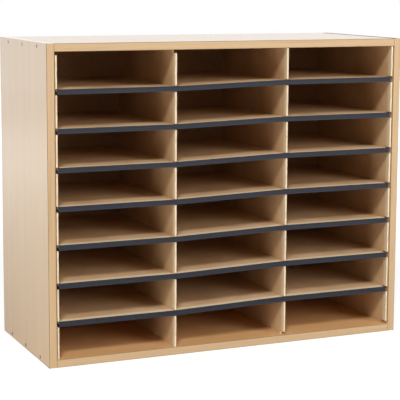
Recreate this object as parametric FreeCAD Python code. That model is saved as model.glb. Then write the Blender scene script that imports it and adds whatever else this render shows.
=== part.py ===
"""Pigeonhole sorter: a laminated case around a half-lapped grid of hardboard, all sizes in millimetres.

Frame: +X to the right, +Y to the back, +Z up, origin at the middle of the footprint on the floor.
"""
import FreeCAD, Part
import os
from FreeCAD import Vector

INCH = 25.4

# Driving dimensions of the case
case_width = 29.0 * INCH
case_depth = 12.0 * INCH
case_height = 23.5 * INCH
board = 15.0                    # thickness of the sides, top and bottom
band = 1.0                      # thickness of the edge bands on the front edges
band_edge_radius = 0.6          # rounding of a band's long front edges
back_sheet = 3.2                # thickness of the back, let into a rebate all round
rebate_width = 8.0              # rebate in the rear inner edge of each board
back_clearance = 0.5            # between the back's edges and the rebate

# Driving dimensions of the grid
rows = 8
columns = 3
sheet = 3.2                     # thickness of the shelves, liners and dividers
liner_gap = 1.6                 # open gap between a liner and its side board
grid_recess = 1.5               # the grid's front edges lie this far behind the case's front
end_row_clear = 64.5            # clear height of the top and bottom rows, before pattern_offset
pattern_offset = 3.2            # an upright's slots lie this far off its middle, away from its relief
grid_top_clearance = 0.4        # between an upright's top and the top board
grid_back_clearance = 0.4       # between the grid's rear edges and the back
lap_depth = 148.5               # depth of the uprights' slots; the shelves are slotted behind it
notch_depth = 15.0              # front notch in an upright, behind the moulding
notch_clearance = 1.25          # above and below the moulding in its notch
end_notch_height = 6.0          # relief at one end of an upright's front edge
slot_clearance = 0.15           # on each face of a sheet in its slot
lap_clearance = 0.5             # at the blind end of each slot
shelf_side_clearance = 0.5      # between a shelf's ends and the side boards
ear_clearance = 1.0             # the shelf's ends start this far behind the notches

# Driving dimensions of the label moulding, a channel with a label pocket in its front
moulding_height = 9.5
moulding_wall = 1.0             # flanges, web and clip legs
pocket_depth = 0.8              # room for the label, front to back
lip_thickness = 0.5             # lips that hold the label in
lip_height = 1.2                # how far each lip covers the label's edge
upper_leg = 1.2                 # clip leg on top of the shelf
lower_leg = 9.0                 # clip leg under the shelf
moulding_end_clearance = 0.5    # between a moulding's end and the liner
clip_clearance = 0.05           # between the shelf and the clip, on each face

# Fasteners
screws_per_joint = 3
screw_inset = 58.0              # first and last screw from the case's front and back
screw_diameter = 4.2
screw_length = 45.0
screw_head_diameter = 7.0
screw_recess_width = 0.9        # arms of the cross recess in the head
screw_recess_span = 4.2
screw_recess_depth = 1.6
dowel_diameter = 8.0
dowel_in_side = 10.0            # length in the side board
dowel_in_board = 20.0           # length in the top or bottom board
dowel_chamfer = 1.0
dowel_end_clearance = 0.5
fastener_clearance = 0.1        # all round a screw, dowel or nail
nails_across = 8
nails_up = 6
nail_diameter = 1.6
nail_length = 22.0
nail_head_diameter = 4.5
nail_head_height = 0.8

# Planes worked out from the driving dimensions
front = -case_depth / 2
rear = case_depth / 2
inner_x = case_width / 2 - board            # inner face of a side board
floor_z = board                             # top face of the bottom board
ceiling_z = case_height - board             # underside of the top board
board_front = front + band
board_rear = rear - back_sheet              # front face of the back
grid_front = front + grid_recess
grid_rear = board_rear - grid_back_clearance
lap_y = grid_front + lap_depth
liner_x = inner_x - liner_gap - sheet       # inner face of a liner
notch_rear = grid_front + notch_depth
compartment_width = (2 * liner_x - (columns - 1) * sheet) / columns
row_pitch = (ceiling_z - floor_z - 2 * end_row_clear - moulding_height) / (rows - 2)
shelf_front = grid_front + lip_thickness + pocket_depth + moulding_wall + clip_clearance


def box(x0, x1, y0, y1, z0, z1):
    """A box between two corners."""
    return Part.makeBox(x1 - x0, y1 - y0, z1 - z0, Vector(x0, y0, z0))


def upright_places():
    """Each upright's name, left face and lift, from left to right.

    All of them are one piece. Those on the left stand with the relief at the top, which sets
    their slots low; those on the right are turned over, which sets their slots high.
    """
    step = compartment_width + sheet
    places = []
    for count in range(columns + 1):
        on_left = count <= columns / 2
        if count == 0:
            name = "left_liner"
        elif count == columns:
            name = "right_liner"
        elif columns == 3:
            name = "left_divider" if on_left else "right_divider"
        else:
            name = "divider_%d" % count
        places.append((name, -liner_x - sheet + step * count, -pattern_offset if on_left else pattern_offset))
    return places


def bent_strip(x0, x1, y0, y1, z0, z1):
    """A box that follows the lift of the uprights: level in each one, straight between two."""
    path = []
    for name, face, lift in upright_places():
        path += [(face, lift), (face + sheet, lift)]
    first_lift, last_lift = path[0][1], path[-1][1]
    path = [(x0, first_lift)] + [(x, lift) for x, lift in path if x0 < x < x1] + [(x1, last_lift)]
    below = [Vector(x, y0, z0 + lift) for x, lift in path]
    above = [Vector(x, y0, z1 + lift) for x, lift in reversed(path)]
    outline = Part.makePolygon(below + above + below[:1])
    return Part.Face(outline).extrude(Vector(0, y1 - y0, 0))


def moulding_bottom(shelf):
    """Height of the underside of a label moulding before its lift, with shelf 1 at the top."""
    return ceiling_z - end_row_clear - moulding_height - (shelf - 1) * row_pitch


def shelf_bottom(shelf):
    """Height of the underside of a shelf before its lift, just under its moulding's upper leg."""
    return moulding_bottom(shelf) + moulding_height - moulding_wall - clip_clearance - sheet


def joint_heights():
    """Centre lines of the bottom and top boards, where the case's fasteners run."""
    return [board / 2, case_height - board / 2]


def screw_places():
    """Screw positions from front to back."""
    first = front + screw_inset
    step = (case_depth - 2 * screw_inset) / (screws_per_joint - 1)
    return [first + step * count for count in range(screws_per_joint)]


def dowel_places():
    """Dowels lie midway between the screws."""
    screws = screw_places()
    return [(before + after) / 2 for before, after in zip(screws, screws[1:])]


def nail_places():
    """Nails round the back, along the middle of its rebate."""
    edge_x = inner_x + rebate_width / 2
    edge_z = [floor_z - rebate_width / 2, ceiling_z + rebate_width / 2]
    across = [-edge_x + 2 * edge_x * count / (nails_across - 1) for count in range(nails_across)]
    up = [edge_z[0] + (edge_z[1] - edge_z[0]) * count / (nails_up - 1) for count in range(1, nails_up - 1)]
    return [(x, z) for z in edge_z for x in across] + [(x, z) for z in up for x in (-edge_x, edge_x)]


def screw_solid(side, y, z, gap=0.0):
    """A countersunk screw through a side board; gap makes the hole that it runs in."""
    inward = Vector(-side, 0, 0)
    face = Vector(side * case_width / 2, y, z)
    radius = screw_diameter / 2 + gap
    head_radius = screw_head_diameter / 2 + gap
    head = Part.makeCone(head_radius, radius, head_radius - radius, face, inward)
    shank = Part.makeCylinder(radius, screw_length + gap, face, inward)
    return head.fuse(shank)


def screw(side, y, z):
    """The screw itself, with a cross recess in its head."""
    outer = side * case_width / 2
    x0, x1 = sorted((outer, outer - side * screw_recess_depth))
    half_span, half_width = screw_recess_span / 2, screw_recess_width / 2
    upright = box(x0, x1, y - half_width, y + half_width, z - half_span, z + half_span)
    level = box(x0, x1, y - half_span, y + half_span, z - half_width, z + half_width)
    return screw_solid(side, y, z).cut(upright.fuse(level))


def dowel_solid(side, y, z, gap=0.0, end_gap=0.0):
    """A dowel across the face of a side board; the gaps make its blind holes."""
    length = dowel_in_side + dowel_in_board + 2 * end_gap
    start = Vector(side * (inner_x + dowel_in_side + end_gap), y, z)
    return Part.makeCylinder(dowel_diameter / 2 + gap, length, start, Vector(-side, 0, 0))


def dowel(side, y, z):
    """The dowel itself, chamfered at both ends."""
    plain = dowel_solid(side, y, z)
    rims = [edge for edge in plain.Edges if isinstance(edge.Curve, Part.Circle)]
    return plain.makeChamfer(dowel_chamfer, rims)


def nail(x, z, gap=0.0):
    """A nail driven in from the back, its head flush; gap makes its hole."""
    face = Vector(x, rear, z)
    forward = Vector(0, -1, 0)
    head = Part.makeCylinder(nail_head_diameter / 2 + gap, nail_head_height + gap, face, forward)
    shank = Part.makeCylinder(nail_diameter / 2 + gap, nail_length + gap, face, forward)
    return head.fuse(shank)


def nail_holes():
    return [nail(x, z, fastener_clearance) for x, z in nail_places()]


def joint_holes(side):
    """Every hole that the screws and dowels need in one side's two corner joints."""
    holes = []
    for z in joint_heights():
        holes += [screw_solid(side, y, z, fastener_clearance) for y in screw_places()]
        holes += [dowel_solid(side, y, z, fastener_clearance, dowel_end_clearance) for y in dowel_places()]
    return holes


def drilled(solid, holes):
    """Cut only the holes that reach into the solid."""
    near = [hole for hole in holes if hole.BoundBox.intersect(solid.BoundBox)]
    return solid.cut(near)


def back_rebate():
    """The space for the back, in the rear inner edges of the four boards."""
    half = inner_x + rebate_width
    return box(-half, half, board_rear, rear, floor_z - rebate_width, ceiling_z + rebate_width)


def side_board(side):
    x0, x1 = sorted((side * inner_x, side * case_width / 2))
    solid = box(x0, x1, board_front, rear, 0, case_height)
    return drilled(solid, [back_rebate()] + joint_holes(side) + nail_holes())


def cross_board(bottom):
    solid = box(-inner_x, inner_x, board_front, rear, bottom, bottom + board)
    return drilled(solid, [back_rebate()] + joint_holes(-1) + joint_holes(1) + nail_holes())


def edge_band(x0, x1, z0, z1):
    """A band on a front edge, its two long front edges rounded."""
    solid = box(x0, x1, front, board_front, z0, z1)
    upright = z1 - z0 > x1 - x0
    long_edges = []
    for edge in solid.Edges:
        start, end = (vertex.Point for vertex in edge.Vertexes)
        run = abs(end.z - start.z) if upright else abs(end.x - start.x)
        at_front = max(start.y, end.y) < front + band / 2
        if at_front and run > board:
            long_edges.append(edge)
    return solid.makeFillet(band_edge_radius, long_edges)


def back_panel():
    overlap = rebate_width - back_clearance
    half = inner_x + overlap
    solid = box(-half, half, board_rear, rear, floor_z - overlap, ceiling_z + overlap)
    return drilled(solid, nail_holes())


def upright(left_face, lift):
    """A liner or divider: slots for the shelves, notches for their mouldings, one end relief."""
    x0, x1 = left_face, left_face + sheet
    top = ceiling_z - grid_top_clearance
    cuts = []
    for shelf in range(1, rows):
        low = shelf_bottom(shelf) + lift
        cuts.append(box(x0, x1, grid_front, lap_y + lap_clearance, low - slot_clearance,
                        low + sheet + slot_clearance))
        low = moulding_bottom(shelf) + lift
        cuts.append(box(x0, x1, grid_front, notch_rear, low - notch_clearance,
                        low + moulding_height + notch_clearance))
    relief = top - end_notch_height if lift < 0 else floor_z
    cuts.append(box(x0, x1, grid_front, notch_rear, relief, relief + end_notch_height))
    return box(x0, x1, grid_front, grid_rear, floor_z, top).cut(cuts)


def shelf_sheet(shelf):
    """A shelf between the liners, with an ear through each liner's slot, and slotted behind."""
    low = shelf_bottom(shelf)
    narrow = liner_x - slot_clearance
    wide = inner_x - shelf_side_clearance
    slot_front = lap_y - lap_clearance
    plain = bent_strip(-narrow, narrow, shelf_front, grid_rear, low, low + sheet)
    ears = bent_strip(-wide, wide, notch_rear + ear_clearance, slot_front, low, low + sheet)
    slots = [box(x - slot_clearance, x + sheet + slot_clearance, slot_front, grid_rear,
                 low + lift - sheet, low + lift + 2 * sheet)
             for name, x, lift in upright_places()[1:-1]]
    return plain.cut(slots).fuse(ears).removeSplitter()


def label_moulding(shelf):
    """The extruded moulding: label pocket in front, hanging web, clip legs on the shelf's edge."""
    low = moulding_bottom(shelf)
    high = low + moulding_height
    face = grid_front
    pocket_front = face + lip_thickness
    web_front = pocket_front + pocket_depth
    web_rear = web_front + moulding_wall
    clip_top = high - moulding_wall
    clip_bottom = clip_top - sheet - 2 * clip_clearance
    lip = moulding_wall + lip_height
    strips = [
        (face, pocket_front, high - lip, high),                     # upper lip
        (face, pocket_front, low, low + lip),                       # lower lip
        (face, web_rear + upper_leg, high - moulding_wall, high),   # upper flange and clip leg
        (face, web_rear, low, low + moulding_wall),                 # lower flange
        (web_front, web_rear, low, high),                           # web
        (web_front, web_rear + lower_leg, clip_bottom - moulding_wall, clip_bottom),
    ]
    half = liner_x - moulding_end_clearance
    solids = [bent_strip(-half, half, y0, y1, z0, z1) for y0, y1, z0, z1 in strips]
    return solids[0].multiFuse(solids[1:]).removeSplitter()


def build_nodes():
    """Every node by name: one solid each, or a group of like fasteners."""
    half_width = case_width / 2
    nodes = {
        "left_side": side_board(-1),
        "right_side": side_board(1),
        "top_panel": cross_board(ceiling_z),
        "bottom_panel": cross_board(0),
        "back_panel": back_panel(),
        "left_side_band": edge_band(-half_width, -inner_x, 0, case_height),
        "right_side_band": edge_band(inner_x, half_width, 0, case_height),
        "top_band": edge_band(-inner_x, inner_x, ceiling_z, case_height),
        "bottom_band": edge_band(-inner_x, inner_x, 0, floor_z),
        "back_nails": Part.makeCompound([nail(x, z) for x, z in nail_places()]),
    }
    for name, face, lift in upright_places():
        nodes[name] = upright(face, lift)
    for name, side in (("left", -1), ("right", 1)):
        nodes["screws_" + name] = Part.makeCompound(
            [screw(side, y, z) for z in joint_heights() for y in screw_places()])
        nodes["dowels_" + name] = Part.makeCompound(
            [dowel(side, y, z) for z in joint_heights() for y in dowel_places()])
    for shelf in range(1, rows):
        nodes["shelf_%d" % shelf] = shelf_sheet(shelf)
        nodes["label_moulding_%d" % shelf] = label_moulding(shelf)
    return nodes


os.makedirs("parts", exist_ok=True)
for node, shape in build_nodes().items():
    shape.exportStep("parts/%s.step" % node)
    print("%-20s %2d solid(s) %12.1f mm3 valid=%s" % (node, len(shape.Solids), shape.Volume, shape.isValid()))
print("compartment %.1f wide, row pitch %.2f, shelf depth %.1f"
      % (compartment_width, row_pitch, grid_rear - shelf_front))
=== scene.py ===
"""Looks of the pigeonhole sorter: materials, small edge roundings, studio floor, lamps and camera."""
import math

import bpy
from mathutils import Matrix, Vector


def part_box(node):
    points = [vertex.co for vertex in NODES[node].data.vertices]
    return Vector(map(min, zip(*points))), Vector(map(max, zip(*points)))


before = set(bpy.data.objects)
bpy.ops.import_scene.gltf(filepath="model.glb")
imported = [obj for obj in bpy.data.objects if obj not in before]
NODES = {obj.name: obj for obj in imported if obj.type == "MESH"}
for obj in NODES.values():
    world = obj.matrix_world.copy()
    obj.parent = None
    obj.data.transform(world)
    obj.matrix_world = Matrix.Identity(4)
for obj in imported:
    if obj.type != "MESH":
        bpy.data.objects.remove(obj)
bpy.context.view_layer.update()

SHELVES = range(1, 8)
UPRIGHTS = ("left_liner", "left_divider", "right_divider", "right_liner")
SIDE_BANDS = ("left_side_band", "right_side_band")
LEVEL_BANDS = ("top_band", "bottom_band")

# ---------------------------------------------------------------- colours


def linear(red, green, blue):
    """An sRGB colour, 0 to 255, as the linear colour that the shader takes."""
    def one(value):
        value /= 255
        return value / 12.92 if value <= 0.04045 else ((value + 0.055) / 1.055) ** 2.4
    return (one(red), one(green), one(blue), 1.0)


# Pale, middle and dark tone of each wood and board
OAK = (linear(216, 187, 150), linear(207, 176, 138), linear(190, 157, 118))
# A warmer, deeper copy of the oak for the bottom board: painted bounce light, the warm light thrown
# about inside the brown compartments.
BOUNCE_WARMED_OAK = (linear(227, 182, 129), linear(217, 169, 116), linear(197, 147, 97))
BAND_OAK = (linear(208, 178, 141), linear(200, 168, 129), linear(182, 149, 109))
SHEET = (linear(216, 184, 144), linear(205, 171, 131), linear(185, 149, 110))
BACK = (linear(160, 122, 84), linear(146, 108, 73), linear(124, 90, 60))

# Pale and dark tone of what has only two
RAW_PALE, RAW_DARK = linear(138, 108, 78), linear(94, 71, 51)
SHEET_EDGE_PALE, SHEET_EDGE_DARK = linear(240, 222, 190), linear(212, 186, 148)
SMOOTH_PALE, SMOOTH_DARK = linear(188, 149, 110), linear(164, 125, 88)
PLASTIC_PALE, PLASTIC_DARK = linear(50, 52, 60), linear(41, 43, 50)

LINE = linear(118, 88, 60)
ZINC = linear(158, 156, 154)
WIRE = linear(168, 168, 172)
WHITE = (1.0, 1.0, 1.0, 1.0)

# ---------------------------------------------------------------- sizes and strengths of the finish

# Directions that a surface can face, as an axis and a sign
LEFT, RIGHT = ("X", -1.0), ("X", 1.0)
AHEAD, BEHIND = ("Y", -1.0), ("Y", 1.0)
UNDER, OVER = ("Z", -1.0), ("Z", 1.0)

# Values between which a noise texture mostly lies
NOISE_LOW, NOISE_HIGH = 0.3, 0.7

# Oak print: features per metre across and along the grain
STREAKS = (42.0, 1.0)
FIBRES = (420.0, 5.0)
PORES = (1500.0, 55.0)
FIBRE_SHARE = 0.7               # of the fibres in the print, against the broad streaks
PORE_STRENGTH = 0.22
LINE_STRENGTH = 0.75
COAT_ROUGHNESS = 0.12
CUT_ROUGHNESS = 0.9             # of a board's bare edge
# ARRIS also sets the width of the dark lines along the bottom edges, painted contact shadow, and along
# the right top edge, painted shade at the seam.
ARRIS, GLUE = 0.0018, 0.0013    # half-widths of the dark lines at a laminate's end and beside a band

# Hardboard sheets: distances behind the front edge in metres, then the strength of the paleness. The
# sealed front edge is the sheet's own cream; the pale margins behind it on a shelf's top and on the
# uprights' sides are painted light, where the lamps reach in at the front.
SEALED_START, SEALED_END = 0.0005, 0.001
TOP_PAINTED_LIGHT = (0.014, 0.028, 0.85)
SIDE_PAINTED_LIGHT = (0.006, 0.014, 0.6)

# ---------------------------------------------------------------- node helpers


class Shader:
    """A small helper around one material's node tree, in object coordinates (metres)."""

    def __init__(self, name, roughness=0.5, specular=0.5, metallic=0.0):
        self.material = bpy.data.materials.new(name)
        self.material.use_nodes = True
        self.tree = self.material.node_tree
        self.bsdf = self.tree.nodes["Principled BSDF"]
        self.bsdf.inputs["Roughness"].default_value = roughness
        self.bsdf.inputs["Specular IOR Level"].default_value = specular
        self.bsdf.inputs["Metallic"].default_value = metallic
        self.coordinates = self.tree.nodes.new("ShaderNodeTexCoord")

    def link(self, source, target):
        self.tree.links.new(source, target)

    def feed(self, value, socket):
        """Another node's output is linked to the socket, and a plain value is set on it."""
        if hasattr(value, "links"):
            self.link(value, socket)
        else:
            socket.default_value = value

    def noise(self, scale, detail=4.0, roughness=0.55, distortion=0.0):
        """Noise with a scale per axis, in features per metre, so that it can run along the grain."""
        stretch = self.tree.nodes.new("ShaderNodeMapping")
        stretch.inputs["Scale"].default_value = scale
        self.link(self.coordinates.outputs["Object"], stretch.inputs["Vector"])
        node = self.tree.nodes.new("ShaderNodeTexNoise")
        node.inputs["Scale"].default_value = 1.0
        node.inputs["Detail"].default_value = detail
        node.inputs["Roughness"].default_value = roughness
        node.inputs["Distortion"].default_value = distortion
        self.link(stretch.outputs["Vector"], node.inputs["Vector"])
        return node.outputs["Fac"]

    def ramp(self, source, stops):
        node = self.tree.nodes.new("ShaderNodeValToRGB")
        ramp = node.color_ramp
        ramp.interpolation = "EASE"
        while len(ramp.elements) < len(stops):
            ramp.elements.new(0.5)
        for element, (place, colour) in zip(ramp.elements, stops):
            element.position = place
            element.color = colour
        self.link(source, node.inputs["Fac"])
        return node.outputs["Color"]

    def level(self, source, low, high, out_low=0.0, out_high=1.0):
        """A value mapped from one range to another, and held inside it."""
        node = self.tree.nodes.new("ShaderNodeMapRange")
        node.inputs["From Min"].default_value = low
        node.inputs["From Max"].default_value = high
        node.inputs["To Min"].default_value = out_low
        node.inputs["To Max"].default_value = out_high
        self.link(source, node.inputs["Value"])
        return node.outputs["Result"]

    def mix(self, factor, first, second):
        """Two colours or values, mixed by a factor. The sockets' numbers are those of the colours."""
        node = self.tree.nodes.new("ShaderNodeMix")
        node.data_type = "RGBA"
        self.feed(factor, node.inputs[0])
        self.feed(first, node.inputs[6])
        self.feed(second, node.inputs[7])
        return node.outputs[2]

    def math(self, operation, first, second=None):
        node = self.tree.nodes.new("ShaderNodeMath")
        node.operation = operation
        self.feed(first, node.inputs[0])
        if second is not None:
            self.feed(second, node.inputs[1])
        return node.outputs[0]

    def product(self, first, second):
        return self.math("MULTIPLY", first, second)

    def axis(self, output, letter):
        """One component of the object's coordinates or normal."""
        node = self.tree.nodes.new("ShaderNodeSeparateXYZ")
        self.link(self.coordinates.outputs[output], node.inputs[0])
        return node.outputs[letter]

    def near(self, letter, place, width):
        """1 at one place along an axis, falling to 0 at a width either side of it."""
        distance = self.math("ABSOLUTE", self.math("SUBTRACT", self.axis("Object", letter), place))
        return self.level(distance, 0.4 * width, width, 1.0, 0.0)

    def facing(self, letter, sign):
        """1 where the surface faces along an axis, in its positive or negative direction."""
        return self.level(self.product(self.axis("Normal", letter), sign), 0.55, 0.85)

    def any_of(self, masks):
        whole = masks[0]
        for mask in masks[1:]:
            whole = self.math("MAXIMUM", whole, mask)
        return whole

    def bump(self, height, strength, distance):
        node = self.tree.nodes.new("ShaderNodeBump")
        node.inputs["Strength"].default_value = strength
        node.inputs["Distance"].default_value = distance
        self.link(height, node.inputs["Height"])
        self.link(node.outputs["Normal"], self.bsdf.inputs["Normal"])

    def colour(self, source):
        self.link(source, self.bsdf.inputs["Base Color"])

    def gloss(self, source):
        self.link(source, self.bsdf.inputs["Roughness"])


def along(axis, across, lengthways):
    """A texture scale that is long along the grain's axis and fine across it."""
    return tuple(lengthways if letter == axis else across for letter in "XYZ")


def even(scale):
    """A texture scale that is the same along every axis."""
    return (scale, scale, scale)


# ---------------------------------------------------------------- materials


def oak(name, axis, tones, roughness, coat=0.0, raw=(), lines=()):
    """Oak-print laminate: broad soft streaks, fine fibres and short dark pores along one axis.

    raw lists the directions in which the board's cut edges face; on the right board this includes its
    top edge, coloured as bare board as painted shade at the seam.
    lines lists the places of thin dark lines, each as an axis, a coordinate and a half-width: the
    laminate's dark end at the rear, the glue lines beside a band, and painted shade along the bottom
    edges and the right top seam.
    """
    pale, middle, dark = tones
    shader = Shader(name, specular=0.5)
    shader.bsdf.inputs["Coat Weight"].default_value = coat
    shader.bsdf.inputs["Coat Roughness"].default_value = COAT_ROUGHNESS
    broad = shader.noise(along(axis, *STREAKS), detail=3.0, distortion=0.4)
    fibres = shader.noise(along(axis, *FIBRES), detail=5.0, roughness=0.65)
    pores = shader.level(shader.noise(along(axis, *PORES), detail=2.0), 0.60, 0.72)
    grain = shader.mix(FIBRE_SHARE, broad, fibres)
    wood = shader.ramp(grain, [(0.30, dark), (0.50, middle), (0.70, pale)])
    colour = shader.mix(shader.product(pores, PORE_STRENGTH), wood, dark)
    if lines:
        line = shader.any_of([shader.near(letter, place, width) for letter, place, width in lines])
        colour = shader.mix(shader.product(line, LINE_STRENGTH), colour, LINE)
    gloss = shader.level(fibres, NOISE_LOW, NOISE_HIGH, roughness - 0.06, roughness + 0.08)
    if raw:
        chips = shader.noise(even(420.0), detail=4.0, roughness=0.7)
        board = shader.ramp(chips, [(0.38, RAW_DARK), (0.62, RAW_PALE)])
        cut = shader.any_of([shader.facing(letter, sign) for letter, sign in raw])
        colour = shader.mix(cut, colour, board)
        gloss = shader.math("MAXIMUM", gloss, shader.product(cut, CUT_ROUGHNESS))
        if coat:
            uncut = shader.math("SUBTRACT", 1.0, cut)
            shader.link(shader.product(uncut, coat), shader.bsdf.inputs["Coat Weight"])
    shader.colour(colour)
    shader.gloss(gloss)
    shader.bump(shader.math("SUBTRACT", fibres, shader.product(pores, 0.5)), 0.25, 0.00015)
    return shader


def hardboard(name, tones, front, roughness=0.42):
    """Pressed fibre sheet: mottled brown with fine fibre flecks, cream on its sealed front edge.

    The faces are painted paler beside that edge, most of all a shelf's top: painted light, where the
    lamps reach in at the front of each compartment.
    """
    pale, middle, dark = tones
    shader = Shader(name, specular=0.45)
    cloud = shader.noise(even(9.0), detail=3.0)
    fleck = shader.noise(even(650.0), detail=3.0, roughness=0.7)
    face = shader.ramp(shader.mix(0.4, cloud, fleck), [(0.38, dark), (0.5, middle), (0.64, pale)])
    edge_noise = shader.noise((900.0, 900.0, 60.0), detail=2.0)
    edge = shader.ramp(edge_noise, [(0.35, SHEET_EDGE_DARK), (0.6, SHEET_EDGE_PALE)])
    depth = shader.axis("Object", "Y")

    def margin(mask, start, end, strength):
        """A pale margin on the faces in the mask, which fades out between two distances."""
        return shader.product(mask, shader.level(depth, front + start, front + end, strength, 0.0))

    # Painted light: a shelf's top and the uprights' sides are made paler near the front edge, where
    # the lamps reach in.
    painted_top_light = margin(shader.facing(*OVER), *TOP_PAINTED_LIGHT)
    beside = margin(shader.any_of([shader.facing(*RIGHT), shader.facing(*LEFT)]), *SIDE_PAINTED_LIGHT)
    face = shader.mix(shader.any_of([painted_top_light, beside]), face, SHEET_EDGE_PALE)
    sealed = margin(shader.facing(*AHEAD), SEALED_START, SEALED_END, 1.0)
    shader.colour(shader.mix(sealed, face, edge))
    shader.gloss(shader.level(fleck, NOISE_LOW, NOISE_HIGH, roughness - 0.05, roughness + 0.12))
    shader.bump(fleck, 0.18, 0.0002)
    return shader


def back_board(name, tones):
    """The back: smooth hardboard in front, darker and rougher behind."""
    pale, middle, dark = tones
    shader = Shader(name, specular=0.35)
    cloud = shader.noise(even(5.0), detail=3.0)
    fleck = shader.noise(even(520.0), detail=4.0, roughness=0.7)
    mottle = shader.mix(0.7, cloud, fleck)
    rough = shader.ramp(mottle, [(0.34, dark), (0.5, middle), (0.66, pale)])
    smooth = shader.ramp(mottle, [(0.38, SMOOTH_DARK), (0.62, SMOOTH_PALE)])
    shader.colour(shader.mix(shader.facing(*AHEAD), rough, smooth))
    shader.gloss(shader.level(fleck, NOISE_LOW, NOISE_HIGH, 0.5, 0.72))
    shader.bump(fleck, 0.35, 0.0003)
    return shader


def plastic(name):
    """Extruded plastic: near black, faint draw lines along its length, a soft sheen."""
    shader = Shader(name, specular=0.34)
    draw_lines = shader.noise((3.0, 2600.0, 2600.0), detail=2.0)
    dust = shader.noise(even(140.0), detail=3.0)
    tone = shader.mix(0.5, draw_lines, dust)
    shader.colour(shader.ramp(tone, [(0.35, PLASTIC_DARK), (0.65, PLASTIC_PALE)]))
    shader.gloss(shader.level(dust, NOISE_LOW, NOISE_HIGH, 0.42, 0.54))
    shader.bump(draw_lines, 0.12, 0.0001)
    return shader


def steel(name, tone, roughness):
    """Zinc-plated or bright steel with a little mottle."""
    shader = Shader(name, metallic=1.0)
    mottle = shader.noise(even(700.0), detail=3.0)
    low = tuple(value * 0.8 for value in tone[:3]) + (1.0,)
    shader.colour(shader.ramp(mottle, [(0.35, low), (0.65, tone)]))
    shader.gloss(shader.level(mottle, NOISE_LOW, NOISE_HIGH, roughness - 0.08, roughness + 0.1))
    return shader


def set_material(node, shader):
    mesh = NODES[node].data
    mesh.materials.clear()
    mesh.materials.append(shader.material)


def round_edges(node, width, segments=2):
    """A small real rounding on a CAD piece's sharp edges, so that they catch the light."""
    bevel = NODES[node].modifiers.new("edge_rounding", "BEVEL")
    bevel.width = width
    bevel.segments = segments
    bevel.limit_method = "ANGLE"
    bevel.angle_limit = math.radians(40)
    bevel.harden_normals = False


def band_lines(names, letter, index):
    """The glue lines along both long edges of each band."""
    return [(letter, corner[index], GLUE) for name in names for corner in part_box(name)]


case_low, case_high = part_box("left_side")[0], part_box("right_side")[1]
# Dark lines on the laminate: along the bottom edges painted contact shadow, along the right top edge
# painted shade at the seam, and at the rear the laminate's dark end.
floor_shade_line = ("Z", case_low[2], ARRIS)
seam_shade_line = ("Z", case_high[2], ARRIS)
rear_line = ("Y", case_high[1], ARRIS)

# The left board's top edge is laminated. The right board's top edge is coloured as bare board, with a
# dark line along it: painted shade at the seam on the right of the top. Both boards have a dark line
# along their bottom edge: painted contact shadow where they stand on the floor.
left_oak = oak("oak_left", "Z", OAK, 0.36, coat=1.0,
               raw=[UNDER, BEHIND], lines=[floor_shade_line, rear_line])
right_oak = oak("oak_right", "Z", OAK, 0.36, coat=1.0,
                raw=[OVER, UNDER, BEHIND], lines=[floor_shade_line, seam_shade_line, rear_line])
top_oak = oak("oak_top", "X", OAK, 0.34, coat=0.7, raw=[BEHIND], lines=[rear_line])
# The bottom board takes the warmer copy of the oak: painted bounce light inside the compartments.
bottom_oak = oak("oak_bottom", "X", BOUNCE_WARMED_OAK, 0.34, raw=[BEHIND], lines=[rear_line])
side_band = oak("band_upright", "Z", BAND_OAK, 0.40, lines=band_lines(SIDE_BANDS, "X", 0))
level_band = oak("band_level", "X", BAND_OAK, 0.40, lines=band_lines(LEVEL_BANDS, "Z", 2))
beech = oak("beech_dowel", "X", BAND_OAK, 0.5)
sheet_board = hardboard("hardboard_sheet", SHEET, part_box("left_divider")[0][1])
raw_back = back_board("hardboard_back", BACK)
black_plastic = plastic("moulded_plastic")
zinc = steel("zinc_plate", ZINC, 0.26)
wire = steel("nail_wire", WIRE, 0.4)

for name, shader, rounding in (("left_side", left_oak, 0.0004), ("right_side", right_oak, 0.0004),
                               ("top_panel", top_oak, 0.0003), ("bottom_panel", bottom_oak, 0.0003)):
    set_material(name, shader)
    round_edges(name, rounding)
for name in SIDE_BANDS:
    set_material(name, side_band)
for name in LEVEL_BANDS:
    set_material(name, level_band)
for name in UPRIGHTS:
    set_material(name, sheet_board)
    round_edges(name, 0.00025)
for number in SHELVES:
    set_material("shelf_%d" % number, sheet_board)
    set_material("label_moulding_%d" % number, black_plastic)
    round_edges("label_moulding_%d" % number, 0.0005, segments=3)
for name, shader in (("back_panel", raw_back), ("back_nails", wire),
                     ("screws_left", zinc), ("screws_right", zinc),
                     ("dowels_left", beech), ("dowels_right", beech)):
    set_material(name, shader)

# ---------------------------------------------------------------- floor, background, lamps

FLOOR_HALF = 6.0                # half the floor's width, in metres
FLOOR_GREY = 0.38               # what the floor reflects, so that it keeps the shadow
WORLD_FILL = 0.14               # the world's light on the object

# The floor's glow by the distance from its middle: from, to, glow there and glow beyond
SEEN_GLOW = (0.9, 3.0, 0.68, 1.0)
REFLECTED_GLOW = (0.3, 2.6, 0.0, 0.72)

# Name, place, target, width, height and watts of each softbox
MIDDLE = (0.0, 0.0, 0.3)
LAMPS = (
    ("key", (-2.85, -4.8, 5.5), MIDDLE, 1.5, 1.5, 362.0),
    ("front", (1.9, -3.3, 1.4), MIDDLE, 1.8, 1.8, 92.0),
    ("left", (-1.35, -0.25, 0.18), (-0.37, -0.05, -0.4), 0.8, 0.3, 7.6),
    ("right", (3.4, 0.5, 1.5), MIDDLE, 1.8, 1.8, 42.0),
    ("rear", (-1.2, 3.6, 1.8), MIDDLE, 1.8, 1.8, 28.0),
)


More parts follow.
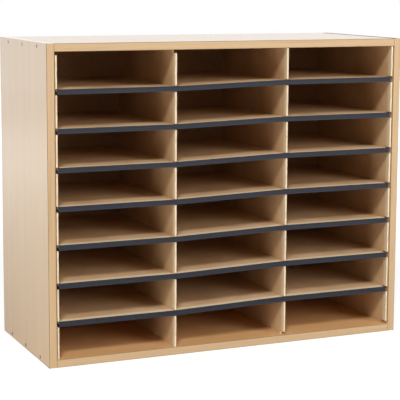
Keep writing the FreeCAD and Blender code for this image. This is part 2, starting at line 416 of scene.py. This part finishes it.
def floor_material():
    """White floor that keeps the object's shadow and joins the white background."""
    shader = Shader("studio_floor", roughness=0.9, specular=0.1)
    shader.bsdf.inputs["Base Color"].default_value = even(FLOOR_GREY) + (1.0,)
    tree = shader.tree
    path = tree.nodes.new("ShaderNodeLightPath")
    x, y = shader.axis("Object", "X"), shader.axis("Object", "Y")
    reach = shader.math("SQRT", shader.math("ADD", shader.product(x, x), shader.product(y, y)))
    seen = shader.product(path.outputs["Is Camera Ray"], shader.level(reach, *SEEN_GLOW))
    reflected = shader.product(path.outputs["Is Glossy Ray"], shader.level(reach, *REFLECTED_GLOW))
    glow = tree.nodes.new("ShaderNodeEmission")
    glow.inputs["Color"].default_value = WHITE
    shader.link(shader.math("ADD", seen, reflected), glow.inputs["Strength"])
    add = tree.nodes.new("ShaderNodeAddShader")
    shader.link(shader.bsdf.outputs[0], add.inputs[0])
    shader.link(glow.outputs[0], add.inputs[1])
    shader.link(add.outputs[0], tree.nodes["Material Output"].inputs["Surface"])
    return shader.material


def make_floor():
    half = FLOOR_HALF
    mesh = bpy.data.meshes.new("floor")
    corners = [(-half, -half, 0), (half, -half, 0), (half, half, 0), (-half, half, 0)]
    mesh.from_pydata(corners, [], [(0, 1, 2, 3)])
    mesh.materials.append(floor_material())
    plane = bpy.data.objects.new("floor", mesh)
    bpy.context.scene.collection.objects.link(plane)


def make_world():
    """White to the camera and in reflections, a plain level of fill for everything else."""
    world = bpy.data.worlds.new("studio")
    bpy.context.scene.world = world
    world.use_nodes = True
    tree = world.node_tree
    tree.nodes.clear()
    path = tree.nodes.new("ShaderNodeLightPath")
    shown = path.outputs["Is Camera Ray"]
    for ray in ("Is Glossy Ray", "Is Transmission Ray"):
        either = tree.nodes.new("ShaderNodeMath")
        either.operation = "MAXIMUM"
        tree.links.new(shown, either.inputs[0])
        tree.links.new(path.outputs[ray], either.inputs[1])
        shown = either.outputs[0]
    mix = tree.nodes.new("ShaderNodeMixShader")
    tree.links.new(shown, mix.inputs["Fac"])
    for place, strength in ((1, WORLD_FILL), (2, 1.0)):
        background = tree.nodes.new("ShaderNodeBackground")
        background.inputs["Color"].default_value = WHITE
        background.inputs["Strength"].default_value = strength
        tree.links.new(background.outputs[0], mix.inputs[place])
    output = tree.nodes.new("ShaderNodeOutputWorld")
    tree.links.new(mix.outputs[0], output.inputs["Surface"])


def area_lamp(name, place, target, width, height, watts):
    """A softbox that lights the object without a glare on its polished faces."""
    light = bpy.data.lights.new(name, "AREA")
    light.energy = watts
    light.shape = "RECTANGLE"
    light.size = width
    light.size_y = height
    lamp = bpy.data.objects.new(name, light)
    lamp.location = place
    lamp.visible_camera = False
    lamp.visible_glossy = False
    lamp.rotation_euler = (Vector(target) - Vector(place)).to_track_quat("-Z", "Y").to_euler()
    bpy.context.scene.collection.objects.link(lamp)


# ---------------------------------------------------------------- camera

INCH = 0.0254
CAMERA_PLACE = (-43.4, -98.65, 28.0)            # inches from the middle of the case's footprint
CAMERA_TURN = (23.73, 7.99, 0.29)               # degrees to the right, down, and about the view
FOCAL_LENGTH, FRAME_WIDTH = 1371.3, 400.0       # pixels
SENSOR_WIDTH = 36.0                             # millimetres


def make_camera():
    """The photograph's angle: from the left of the front, a little above the top."""
    data = bpy.data.cameras.new("camera")
    data.sensor_width = SENSOR_WIDTH
    data.lens = FOCAL_LENGTH / FRAME_WIDTH * SENSOR_WIDTH
    data.shift_y = -0.07
    data.clip_end = 50.0
    camera = bpy.data.objects.new("camera", data)
    camera.location = tuple(value * INCH for value in CAMERA_PLACE)
    yaw, pitch, roll = (math.radians(angle) for angle in CAMERA_TURN)
    level_share = math.cos(pitch)
    forward = Vector((math.sin(yaw) * level_share, math.cos(yaw) * level_share, -math.sin(pitch)))
    turn = forward.to_track_quat("-Z", "Y").to_matrix() @ Matrix.Rotation(roll, 3, "Z")
    camera.rotation_euler = turn.to_euler()
    bpy.context.scene.collection.objects.link(camera)
    bpy.context.scene.camera = camera


make_camera()
make_floor()
make_world()
for lamp in LAMPS:
    area_lamp(*lamp)
bpy.context.scene.view_settings.view_transform = "Standard"
